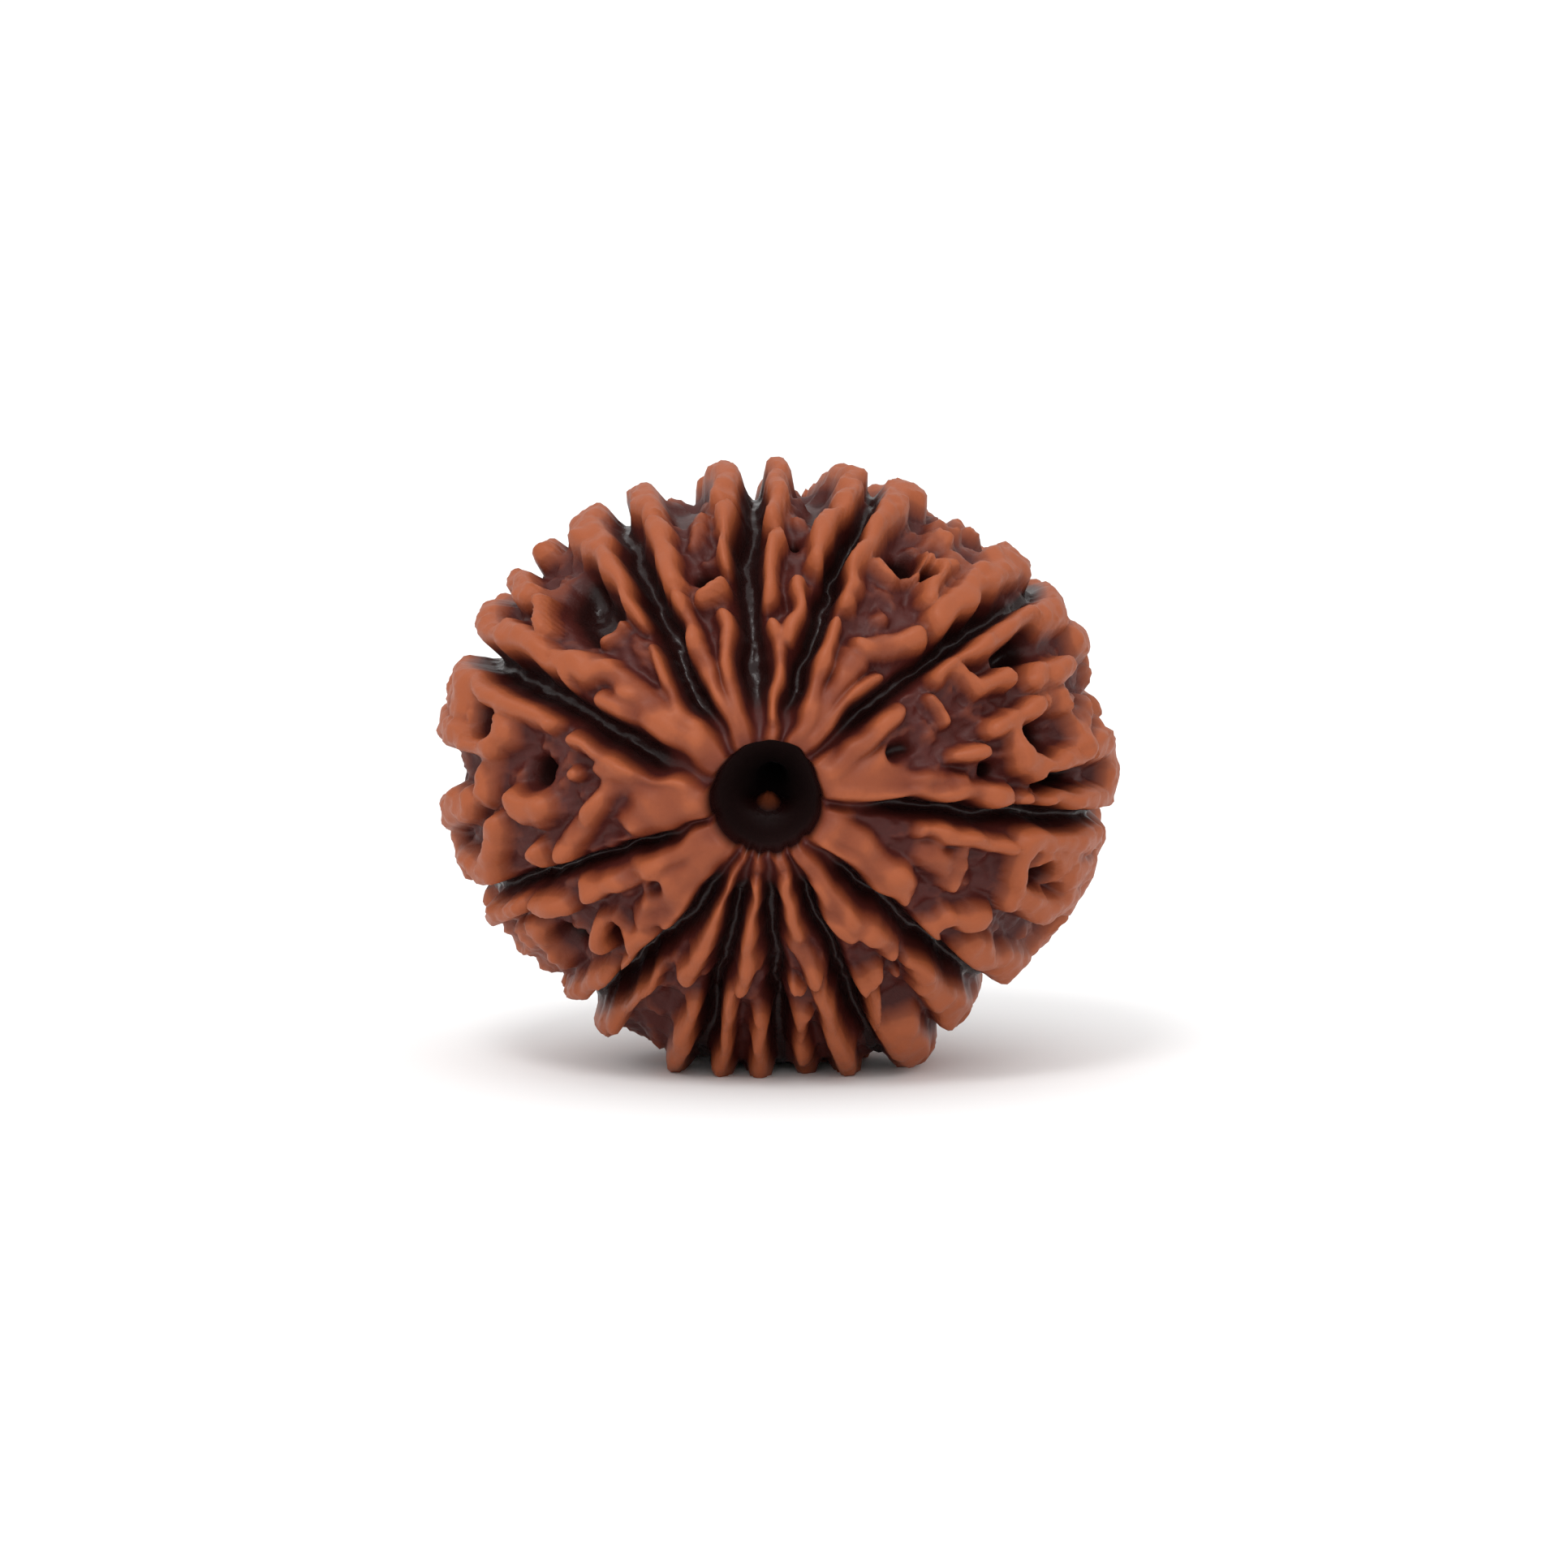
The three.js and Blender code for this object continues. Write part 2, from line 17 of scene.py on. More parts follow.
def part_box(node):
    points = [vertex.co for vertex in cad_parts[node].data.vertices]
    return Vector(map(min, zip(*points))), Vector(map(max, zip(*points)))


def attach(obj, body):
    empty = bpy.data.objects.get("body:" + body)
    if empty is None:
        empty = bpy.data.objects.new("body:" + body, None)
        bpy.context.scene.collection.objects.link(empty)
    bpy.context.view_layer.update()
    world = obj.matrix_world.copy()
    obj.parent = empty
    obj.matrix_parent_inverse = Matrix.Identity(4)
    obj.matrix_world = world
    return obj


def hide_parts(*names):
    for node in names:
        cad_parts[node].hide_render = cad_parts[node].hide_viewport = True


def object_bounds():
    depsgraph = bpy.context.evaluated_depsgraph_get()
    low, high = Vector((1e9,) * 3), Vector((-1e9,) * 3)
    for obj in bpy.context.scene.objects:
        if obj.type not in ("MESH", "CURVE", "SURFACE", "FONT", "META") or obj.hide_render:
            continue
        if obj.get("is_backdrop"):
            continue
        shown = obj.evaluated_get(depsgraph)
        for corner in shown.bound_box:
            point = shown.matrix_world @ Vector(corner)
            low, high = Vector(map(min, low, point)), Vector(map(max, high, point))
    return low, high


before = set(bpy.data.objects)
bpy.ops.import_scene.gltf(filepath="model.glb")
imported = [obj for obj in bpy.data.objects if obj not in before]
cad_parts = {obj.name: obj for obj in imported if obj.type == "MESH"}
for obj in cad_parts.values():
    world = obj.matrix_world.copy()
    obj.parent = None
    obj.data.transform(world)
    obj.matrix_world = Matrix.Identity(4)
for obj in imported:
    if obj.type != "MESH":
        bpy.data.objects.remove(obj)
cad_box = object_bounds()
MM = 0.001
low, high = (np.array(corner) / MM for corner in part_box("bead"))
WIDTH, LENGTH, HEIGHT = high - low
print(f"the bead's box is {WIDTH:.1f} x {LENGTH:.1f} x {HEIGHT:.1f} mm")

# %% [markdown]
# ## Places on the bead
# A place is written as (lon, colat) in degrees, as on a small globe whose poles are the two holes. lon
# runs anticlockwise round the front hole, from the right. colat is 0 at the front hole, 90 on the belt
# and 180 at the back hole. The crests stand on an egg-shaped core, so its half axes leave room for their
# height.

# %% The core under the crests
FLAT_DEPTH = 1.0  # how much of the rim's lowest knobs is worn flat
FLOOR_RISE, FLOOR_BELT = 0.45, 0.65  # ground between the crests of a face, beside the hole and on the belt
PETAL_RISE = 1.3  # crests beside the hole
BELT_RISE, KNOB_RISE = 1.75, 2.1  # knobs round the belt, after and before wear
COLLAR_RISE = 1.1  # smooth ring round each mouth of the hole
CORE = np.array([WIDTH / 2 - BELT_RISE, LENGTH / 2 - COLLAR_RISE, HEIGHT / 2 - BELT_RISE])


def on_core(lon, colat):
    lon, colat = np.radians(lon), np.radians(colat)
    unit = [np.sin(colat) * np.cos(lon), -np.cos(colat), np.sin(colat) * np.sin(lon)]
    return np.stack(unit, axis=-1) * CORE


print("core half axes in mm:", CORE.round(2))

# %% [markdown]
# ## Crests, bumps and pits
# On the real stone each face carries a pattern like a forked leaf: two rails run out from the collar,
# and knobs, thorns and small pits fill the space between them. A sculptor would draw these with a brush.
# Here each stroke of the brush is written down as half its width in mm and the places that it passes
# through, so the same strokes can be drawn again at any fineness.


# %% The strokes of the brush
@dataclass
class Stroke:
    half: float
    path: list
    rise: float = None


@dataclass
class Face:
    groove: tuple  # lon of the groove at the collar, half way and on the belt
    wide: float  # half the groove's width
    mouth: float  # colat of the hole's edge
    crests: list
    pits: list


def crest(half, *path):
    return Stroke(half, list(path))


def bump(half, rise, *path):
    return Stroke(half, list(path), rise)


def pit(half, depth, *path):
    return Stroke(half, list(path), depth)


FACES = []
print("brushes: crest, bump, pit")

# %% Faces at the top
FACES += [
    Face(
        groove=(45, 42, 37.5),
        wide=0.34,
        mouth=12.3,
        crests=[
            crest(0.42, (66, 15), (69, 25), (71, 38)),
            bump(0.55, 1.2, (61, 15), (60, 33)),
            crest(0.42, (54, 15), (51, 24), (50, 32)),
            crest(0.45, (60, 37), (55, 39), (49, 44.5)),
            bump(0.5, 0.6, (60, 46.5)),
            crest(0.55, (71, 46), (72, 53), (71, 62), (69, 72), (67.5, 92)),
            bump(0.35, 1.3, (67, 57), (62, 56.5), (58.5, 60), (57.5, 68)),
            crest(0.35, (53.5, 54), (54, 63)),
            bump(0.6, 2.1, (47.5, 51), (47.5, 62), (46, 74), (43.5, 92)),
            bump(0.6, 1.2, (58, 74), (57, 84)),
            bump(0.8, 1.35, (52.5, 58), (53, 70)),
        ],
        pits=[
            pit(0.42, 1.0, (62.7, 61), (62, 65)),
            pit(0.25, 0.9, (56, 61.5)),
        ],
    ),
    Face(
        groove=(77, 75.5, 72),
        wide=0.34,
        mouth=12.2,
        crests=[
            crest(0.32, (86, 17), (86, 30), (87.5, 36)),
            crest(0.3, (84, 34), (82, 40), (82.5, 47)),
            crest(0.38, (89.3, 42), (89.5, 50), (88.5, 60)),
            crest(0.4, (89.8, 64), (89.5, 90)),
            crest(0.4, (80, 53), (79.5, 62), (77.5, 72), (76, 92)),
            bump(0.4, 0.9, (84, 66)),
        ],
        pits=[
            pit(0.22, 0.7, (85.5, 61)),
            pit(0.4, 0, (82.6, 74), (82.3, 94)),
        ],
    ),
    Face(
        groove=(95.5, 95.5, 94),
        wide=0.46,
        mouth=11.8,
        crests=[
            crest(0.42, (113, 15), (113, 25), (113.5, 35), (113, 46)),
            crest(0.42, (107, 15), (104.5, 27), (102.5, 39)),
            crest(0.38, (107, 45), (101.5, 47)),
            crest(0.45, (112.5, 50), (112.5, 68)),
            crest(0.5, (113, 73), (114, 94)),
            crest(0.4, (99.5, 53), (98.7, 68)),
            crest(0.45, (98.5, 73), (98.8, 94)),
            bump(0.5, 0.9, (105.5, 62), (104.5, 70)),
        ],
        pits=[
            pit(0.3, 0.6, (105.5, 53)),
            pit(0.5, 0, (107.5, 76), (107.5, 94)),
        ],
    ),
]
print(f"{len(FACES)} faces drawn so far")

# %% Faces on the left
FACES += [
    Face(
        groove=(122, 118.5, 119),
        wide=0.4,
        mouth=11,
        crests=[
            crest(0.55, (140, 16), (145, 26), (148, 37.5)),
            crest(0.5, (137, 18), (139, 30), (140, 38)),
            bump(0.8, 1.15, (137, 15), (138, 28)),
            crest(0.36, (132, 20), (129, 30), (126, 35), (123.8, 39)),
            crest(0.55, (140, 41), (144.5, 47), (148, 54), (148.5, 64), (150.5, 76), (152, 92)),
            crest(0.45, (149.5, 47)),
            crest(0.35, (143.5, 60), (139.5, 68)),
            crest(0.45, (141, 74), (141.5, 90)),
            crest(0.45, (123, 46.5), (122.5, 54), (124.5, 64)),
            crest(0.65, (124.5, 64), (125.5, 78), (126, 94)),
            bump(0.3, 1.0, (135, 47.5), (129.5, 48.5)),
        ],
        pits=[
            pit(0.75, 0.8, (133, 54), (132, 66)),
        ],
    ),
    Face(
        groove=(159, 154.5, 157),
        wide=0.48,
        mouth=11.2,
        crests=[
            crest(0.9, (185, 15), (188, 24)),
            crest(0.48, (199, 42), (194, 38), (184, 31)),
            crest(0.5, (168, 15), (166.5, 25), (163.5, 33), (162, 39)),
            bump(0.5, 1.2, (172, 26), (170, 32)),
            bump(0.9, 1.1, (178, 14), (177, 28)),
            bump(0.35, 1.1, (175, 38)),
            crest(0.48, (199, 49)),
            crest(0.75, (187, 46.5), (185.5, 51.5)),
            crest(0.48, (161, 46), (162, 56), (161.5, 72), (162, 92)),
            bump(0.6, 1.4, (184, 62), (176, 61.5)),
            crest(0.45, (173, 60), (172.5, 74), (172, 90)),
            bump(0.6, 2.0, (167, 76), (166, 90)),
            bump(1.0, 1.5, (166.5, 59), (166.5, 74)),
            crest(0.6, (186, 68), (190, 88)),
            crest(0.5, (201, 68), (196, 62.5), (191, 59)),
            bump(0.5, 2.0, (201, 68), (198, 88)),
        ],
        pits=[
            pit(0.55, 1.0, (176, 49)),
            pit(0.36, 1.2, (168, 63.5), (168, 66.5)),
        ],
    ),
    Face(
        groove=(205, 205.5, 206),
        wide=0.24,
        mouth=11.6,
        crests=[
            crest(0.65, (226, 15), (233, 24), (235.5, 33)),
            crest(0.6, (228, 22), (229, 36)),
            crest(0.45, (216, 15), (214, 26), (214, 35), (212, 42)),
            bump(0.9, 1.15, (222, 15), (222, 27)),
            crest(0.5, (233.5, 40), (235.5, 50)),
            crest(0.42, (227, 49.5), (222, 44)),
            bump(0.3, 1.1, (232, 42), (224, 41.5)),
            crest(0.45, (214, 50), (210.5, 56.5)),
            crest(0.42, (233, 57), (232, 70), (232, 86)),
            bump(0.7, 1.5, (217, 65), (218, 88)),
            bump(0.8, 1.2, (224, 70), (225, 86)),
            crest(0.36, (209.5, 62), (211, 86)),
        ],
        pits=[
            pit(0.25, 1.0, (231, 46.5), (229, 46)),
            pit(0.5, 0.8, (222, 61)),
            pit(0.3, -0.5, (224, 29)),
        ],
    ),
]
print(f"{len(FACES)} faces drawn so far")

# %% Faces at the bottom
FACES += [
    Face(
        groove=(244, 238, 235),
        wide=0.34,
        mouth=12.2,
        crests=[
            crest(0.42, (247, 16), (249, 25), (249.5, 36), (248.5, 46)),
            crest(0.38, (253.3, 56), (253.5, 86)),
            crest(0.4, (241, 50), (239.8, 64), (239.5, 86)),
        ],
        pits=[],
    ),
    Face(
        groove=(257, 257, 258),
        wide=0.32,
        mouth=12.6,
        crests=[
            crest(0.33, (264, 19), (263.5, 30), (263.5, 46)),
            crest(0.3, (260.5, 49), (260.7, 62), (261.5, 86)),
            crest(0.33, (268, 56), (267.5, 68), (267.5, 88)),
        ],
        pits=[],
    ),
    Face(
        groove=(271.5, 271.5, 271),
        wide=0.34,
        mouth=12.4,
        crests=[
            crest(0.33, (282, 17), (280, 25), (280, 35), (281.5, 43)),
            crest(0.3, (278.5, 46), (275.5, 44.5)),
            crest(0.36, (282.3, 48), (282.8, 60), (282, 86)),
            bump(0.35, 1.3, (277, 55), (275.5, 66), (276, 86)),
        ],
        pits=[],
    ),
]
print(f"{len(FACES)} faces drawn so far")

# %% Faces on the right
FACES += [
    Face(
        groove=(289, 288, 288),
        wide=0.3,
        mouth=11.8,
        crests=[
            crest(0.45, (301, 15), (299.5, 25), (302, 35), (304, 43)),
            crest(0.4, (296, 20), (294.5, 29), (297, 35)),
            crest(0.38, (305.8, 49.5), (306, 54)),
            crest(0.6, (305, 58), (304.5, 72), (303.5, 88)),
            crest(0.33, (298, 46.5), (293, 47.5), (289.8, 50.5)),
            crest(0.28, (293, 54), (290.8, 63)),
            crest(0.25, (301, 51)),
            crest(0.75, (295, 66), (294, 88)),
        ],
        pits=[],
    ),
    Face(
        groove=(312, 311, 310.5),
        wide=0.34,
        mouth=11.3,
        crests=[
            crest(0.5, (318, 15), (317, 24), (318, 34)),
            crest(0.6, (335, 15), (328, 23), (322, 33)),
            bump(0.8, 1.15, (324, 15), (321, 28)),
            crest(0.33, (345, 30.5), (345.5, 40), (344.5, 50.5)),
            bump(0.75, 1.1, (337, 34), (334, 40)),
            bump(0.35, 1.2, (341, 40), (330, 42)),
            crest(0.55, (325.5, 53), (322.5, 49)),
            crest(0.42, (321, 46), (315, 44), (313.5, 47)),
            crest(0.5, (346.5, 54), (347, 66), (346.5, 86)),
            crest(0.45, (346, 54), (339.5, 54), (335, 57)),
            crest(0.6, (332, 58), (331, 68), (334, 88)),
            crest(0.6, (339, 74), (340, 90)),
            bump(0.95, 1.5, (341, 62), (342, 74)),
            bump(0.7, 1.9, (316.5, 58), (317, 72), (317.7, 90)),
        ],
        pits=[
            pit(0.36, 1.2, (338.3, 61.5), (338.2, 63.5)),
        ],
    ),
    Face(
        groove=(354, 352, 351),
        wide=0.32,
        mouth=10.6,
        crests=[
            crest(0.42, (385, 13), (392, 19), (397, 31)),
            crest(1.0, (372, 14), (370, 23)),
            crest(0.5, (362, 13), (359.5, 24), (359, 36), (357.5, 48)),
            bump(0.45, 1.0, (366, 28), (363, 38)),
            bump(0.8, 1.1, (378, 13), (378, 22)),
            bump(0.28, 1.1, (394, 38), (384, 38)),
            crest(0.3, (372.5, 37), (372, 43)),
            crest(0.4, (398, 42), (398.5, 48), (397, 54)),
            crest(0.4, (398, 46), (393, 46.5), (389.5, 47.5), (387.5, 54.5)),
            crest(0.42, (377.5, 46), (377, 52), (378.5, 58)),
            crest(0.5, (377, 52), (371, 51.5), (366, 52), (363.5, 58), (364, 66), (367, 73)),
            bump(0.6, 1.3, (379, 64), (376, 72)),
            bump(0.7, 1.4, (371, 72), (371, 82)),
            bump(0.55, 2.1, (397, 56), (396, 66), (393, 76), (390.5, 92)),
            crest(0.5, (384, 62), (382.5, 73)),
            crest(0.4, (356, 53)),
            crest(0.4, (356, 59), (356.3, 66), (355, 76), (355.5, 92)),
            crest(0.6, (365, 78), (363.5, 92)),
        ],
        pits=[
            pit(0.3, 0.2, (380.5, 26), (380.5, 29)),
            pit(0.42, 1.3, (372, 60), (369.5, 60)),
            pit(0.4, 0.9, (390.5, 60), (390.5, 69)),
            pit(0.25, 0.9, (360.5, 58), (359.8, 72)),
            pit(0.3, 0.7, (365.5, 45.5)),
        ],
    ),
]
print(f"{len(FACES)} faces drawn so far")

# %% [markdown]
# ## Grooves and the far half
# A groove runs from hole to hole between two faces. Only the front half of the real bead can be seen, so
# the far half repeats the front's strokes, turned end for end across each face, a little taller or
# shorter, and twisted by a few degrees so that the two halves don't look like mirror images.

# %% Grooves from hole to hole
FAR_TWIST = 4
FAR_CHANGE = 0.12
TWIST_EASE = (92, 125)  # colats over which the twist sets in
BEND_COLATS = (20, 50, 85)  # a groove bends between these


def smoothstep(value, start, end):
    share = np.clip((value - start) / (end - start), 0, 1)
    return share * share * (3 - 2 * share)


def groove_lon(groove, colat):
    collar, middle, belt = groove
    near = np.minimum(colat, 180 - colat)
    first = (middle - collar) * smoothstep(near, *BEND_COLATS[:2])
    second = (belt - middle) * smoothstep(near, *BEND_COLATS[1:])
    return collar + first + second + FAR_TWIST * smoothstep(colat, *TWIST_EASE)


def face_span(number, colat):
    start = groove_lon(FACES[number].groove, colat)
    end = groove_lon(FACES[(number + 1) % len(FACES)].groove, colat)
    return start, start + (end - start) % 360


def on_far_half(number, path):
    turned = []
    for lon, colat in path:
        start, end = face_span(number, colat)
        far_start, far_end = face_span(number, 180 - colat)
        share = (end - lon) / (end - start)
        turned.append((far_start + share * (far_end - far_start), 180 - colat))
    return turned


spans = [round(float(np.ptp(face_span(number, 90)))) for number in range(len(FACES))]
print("faces in degrees on the belt:", spans)

# %% [markdown]
# ## The plain form
# Before any carving, the bead is a turned shape: a half ellipse for the outside and a narrow canal for
# the hole, joined into one closed outline. Spinning that outline once round the hole's axis gives an
# even mesh of quads that is fine enough to carve.

# %% Outline of the turned form
COLUMNS = 490
OUTER_ROWS = 172
MOUTH = 11.7  # average colat of the hole's edge
THROAT_SHARE = 0.82
THROAT_DEPTH = 1.6
CANAL_RADIUS = 0.65
CANAL_DEPTH = 4.6
CONE_ROWS = 14
FIBRE_GAP = 0.12  # dried fibre all but closes the canal half way
outside = on_core(0.0, np.linspace(MOUTH, 180 - MOUTH, OUTER_ROWS + 1))[:, :2]
mouth_radius = outside[0, 0]
throat_y, canal_y = CORE[1] - THROAT_DEPTH, CORE[1] - CANAL_DEPTH
cone = np.linspace((THROAT_SHARE * mouth_radius, throat_y), (CANAL_RADIUS, canal_y), CONE_ROWS)
canal_stops = [*cone, (FIBRE_GAP, 0.0), *(cone[::-1] * [1, -1])]
print(f"{len(outside)} points outside, {len(canal_stops)} in the canal")

# %% Spin the outline round the hole
bm = bmesh.new()
corners = [bm.verts.new((radius, y, 0.0)) for radius, y in [*outside, *canal_stops]]
edges = [bm.edges.new((corners[i - 1], corners[i])) for i in range(len(corners))]
bmesh.ops.spin(
    bm,
    geom=corners + edges,
    cent=(0, 0, 0),
    axis=(0, 1, 0),
    angle=-2 * math.pi,
    steps=COLUMNS,
    use_merge=True,
)
bmesh.ops.remove_doubles(bm, verts=bm.verts, dist=1e-5)
bmesh.ops.recalc_face_normals(bm, faces=bm.faces)
print(f"turned form: {len(bm.verts)} vertices, {len(bm.faces)} quads")

# %% [markdown]
# ## Reading the turned form
# To carve it, each vertex has to know its place. The mesh is read into an array, and every point outside
# gets its lon and colat back. The hole's edge isn't a true circle on the real bead, so the rows of each
# face are slid a little, to start at that face's own mouth.

# %% Give every vertex its place
mesh = bpy.data.meshes.new("bead_stone")
bm.to_mesh(mesh)
bm.free()
turned = np.empty(len(mesh.vertices) * 3)
mesh.vertices.foreach_get("co", turned)
turned = turned.reshape(-1, 3)
ON_SKIN = 0.999  # points of the canal lie deeper in the core than this
outer = (turned[:, 0] ** 2 + turned[:, 2] ** 2) / CORE[0] ** 2 + (turned[:, 1] / CORE[1]) ** 2 > ON_SKIN
lon = np.degrees(np.arctan2(turned[:, 2], turned[:, 0])) % 360
turned_colat = np.degrees(np.arccos(np.clip(-turned[:, 1] / CORE[1], -1, 1)))
row_share = (turned_colat - MOUTH) / (180 - 2 * MOUTH)


def mouth_colat(lon):
    starts = np.array([face.groove[0] for face in FACES])
    mouths = np.array([face.mouth for face in FACES])
    widths = (np.roll(starts, -1) - starts) % 360
    number = (np.searchsorted(starts, lon, side="right") - 1) % len(FACES)
    share = ((lon - starts[number]) % 360) / widths[number]
    beside = mouths[np.where(share < 0.5, number - 1, number + 1) % len(FACES)]
    return mouths[number] + (beside - mouths[number]) / 2 * smoothstep(np.abs(share - 0.5), 0, 0.5)


edge = mouth_colat(lon)
colat = edge + row_share * (180 - 2 * edge)
core_points = on_core(lon, colat)
core_normals = core_points / CORE**2
core_normals /= np.linalg.norm(core_normals, axis=1, keepdims=True)
print(f"{outer.sum()} points outside, mouth from {edge.min():.1f} to {edge.max():.1f} degrees")

# %% [markdown]
# ## Carving
# A stroke raises or cuts the surface by how close a point is to its path. Its section is a dome with
# steep sides and a rounded top. Where crests meet they run into each other without a step, which a power
# sum gives. Grooves and pits are cut last, through whatever is there. The places are shaken by a little
# smooth noise first, so that no stroke has a ruler's edge.

# %% Shake the places
SHAKE = 0.2
SHAKE_SIZE = 1.1
SHAKE_SEED = 12  # vector noise draws from its own seed, so this keeps every run the same
noise.seed_set(SHAKE_SEED)


def shake(point):
    return noise.noise_vector(Vector(point / SHAKE_SIZE)) * SHAKE


brush_points = core_points + np.array([shake(point) for point in core_points])
print(f"places shaken by up to {np.abs(brush_points - core_points).max():.2f} mm")

# %% Strokes as lines
BELT_SPREAD = 1.15
SKIRT_RISE, SKIRT_HALF = 0.4, 2.2  # a crest's foot spreads out, as shares of its height and half width
STEEPNESS = 3
SLOPE_END = 4  # half widths after which a stroke isn't felt
LEG_STEPS = 4
SHORTEST = 1e-9  # keeps a stroke of one place from dividing by nothing


def dome(distance):
    return np.exp(-math.log(2) * np.abs(distance) ** STEEPNESS)


def ridge(distance):
    return np.maximum(dome(distance), SKIRT_RISE * np.exp(-((distance / SKIRT_HALF) ** 2)))


def stops_along(path):
    legs = [np.linspace(start, end, LEG_STEPS + 1)[:-1] for start, end in zip(path[:-1], path[1:])]
    places = np.array([*np.concatenate(legs), path[-1]]) if legs else np.array(path, float)
    return on_core(places[:, 0], places[:, 1])


def felt(half, path, spread, section=dome):
    stops = stops_along(path)
    reach = SLOPE_END * BELT_SPREAD * half
    above, below = brush_points > stops.min(0) - reach, brush_points < stops.max(0) + reach
    touched = np.flatnonzero((above & below).all(1) & outer)
    points = brush_points[touched]
    nearest = np.full(len(touched), np.inf)
    for start, end in zip(stops[:-1], stops[1:]) if len(stops) > 1 else [(stops[0], stops[0])]:
        line = end - start
        along = np.clip((points - start) @ line / max(line @ line, SHORTEST), 0, 1)
        nearest = np.minimum(nearest, np.linalg.norm(points - start - along[:, None] * line, axis=1))
    return touched, section(nearest / (half * spread[touched]))


print("one crest touches", len(felt(0.5, FACES[0].crests[0].path, np.ones(len(turned)))[0]), "points")

# %% Raise the crests
BLEND = 6
COLLAR_COLAT, COLLAR_SPREAD = 11, 6
BELT_EASE, RISE_EASE = (60, 85), (30, 75)  # colats over which the belt and the crests' height set in
FAR_TURN = 2.4  # so that neighbours on the far half change by different shares
near = np.minimum(colat, 180 - colat)
belt = smoothstep(near, *BELT_EASE)
rise_here = PETAL_RISE + (KNOB_RISE - PETAL_RISE) * smoothstep(near, *RISE_EASE)
spread_here = 1 + (BELT_SPREAD - 1) * belt
raised = (FLOOR_RISE + (FLOOR_BELT - FLOOR_RISE) * belt) ** BLEND
raised += (COLLAR_RISE * dome((near - COLLAR_COLAT) / COLLAR_SPREAD)) ** BLEND
count = 0
for number, face in enumerate(FACES):
    for stroke in face.crests:
        change = 1 + FAR_CHANGE * math.sin(FAR_TURN * count)
        for path, share in [(stroke.path, 1.0), (on_far_half(number, stroke.path), change)]:
            touched, strength = felt(stroke.half, path, spread_here, ridge)
            rise = rise_here[touched] if stroke.rise is None else stroke.rise
            raised[touched] += (share * rise * strength) ** BLEND
            count += 1
height = raised ** (1 / BLEND)
print(f"{count} crests, up to {height.max():.2f} mm high")

# %% Knobs, wear and wrinkles
RIPPLE = 0.2  # share by which knobs on a crest are taller or shorter
RIPPLE_WAVES, RIPPLE_SHIFTS = (2.3, 2.7, 2.5), (0.6, 1.1, 2)
KNOB_SIZE, KNOB_CHANGE = 0.9, 0.3  # smaller knobs, with their own share
WEAR = 8
WRINKLE_SIZE, WRINKLE_FLOOR, WRINKLE_TOP = 0.8, 0.3, 0.06
WRINKLE_FADE, WRINKLE_STEP, WRINKLE_LAYERS = 0.8, 2.0, 3
TOP_DEPTH = 0.8  # so far below the crests' tops the wrinkles are at their deepest
SMOOTH_EASE = (14, 30)  # the collar is smooth out to these colats


def wrinkle(point):
    return noise.fractal(Vector(point / WRINKLE_SIZE), WRINKLE_FADE, WRINKLE_STEP, WRINKLE_LAYERS)


away = smoothstep(near, *SMOOTH_EASE)
wrinkles = np.array([wrinkle(point) for point in core_points])
knobs = np.array([noise.noise(Vector(point / KNOB_SIZE)) for point in core_points])
height *= 1 + RIPPLE * np.sin(core_points * RIPPLE_WAVES + RIPPLE_SHIFTS).prod(axis=1)
height *= 1 + KNOB_CHANGE * knobs * away
height /= (1 + (height / BELT_RISE) ** WEAR) ** (1 / WEAR)  # tops that stand highest are worn to one level
below_top = smoothstep(rise_here - height, 0, TOP_DEPTH)
height += wrinkles * (WRINKLE_TOP + (WRINKLE_FLOOR - WRINKLE_TOP) * below_top) * away
print(f"worn to {height.max():.2f} mm high")

# %% Cut the pits and grooves
GROOVE_DEPTH = 0.5
GROOVE_MOUTH, GROOVE_THIN = 0.6, 0.5  # the grooves rise to shallow, narrow dips in the collar
GROOVE_BELT, GROOVE_BELT_THIN = (1.3, 0.1), 0.7  # and on the belt, most of all the narrow ones
GROOVE_WIDE = (0.24, 0.48)
FULL_BLACK = 0.8  # a pit this deep is black
GRIT, GRIT_SIZE = 0.1, 0.35  # the cuts are crumbly where they are black
COLLAR_EASE, BLACK_EASE = (12, 26), (16, 26)  # colats over which the grooves deepen and turn black
GROOVE_COLATS = np.linspace(6, 174, 25)
ones = np.ones(len(turned))
blackening = np.zeros(len(turned))
out = smoothstep(near, *COLLAR_EASE)
groove_spread = GROOVE_THIN + (1 - GROOVE_THIN) * out
groove_spread += (GROOVE_BELT_THIN - groove_spread) * belt
groove_floor = GROOVE_MOUTH - (GROOVE_MOUTH + GROOVE_DEPTH) * out


def cut(half, floor, path, spread, blackness):
    touched, strength = felt(half, path, spread)
    height[touched] += np.minimum(floor[touched] - height[touched], 0) * strength
    blackening[touched] = np.maximum(blackening[touched], strength * blackness[touched])


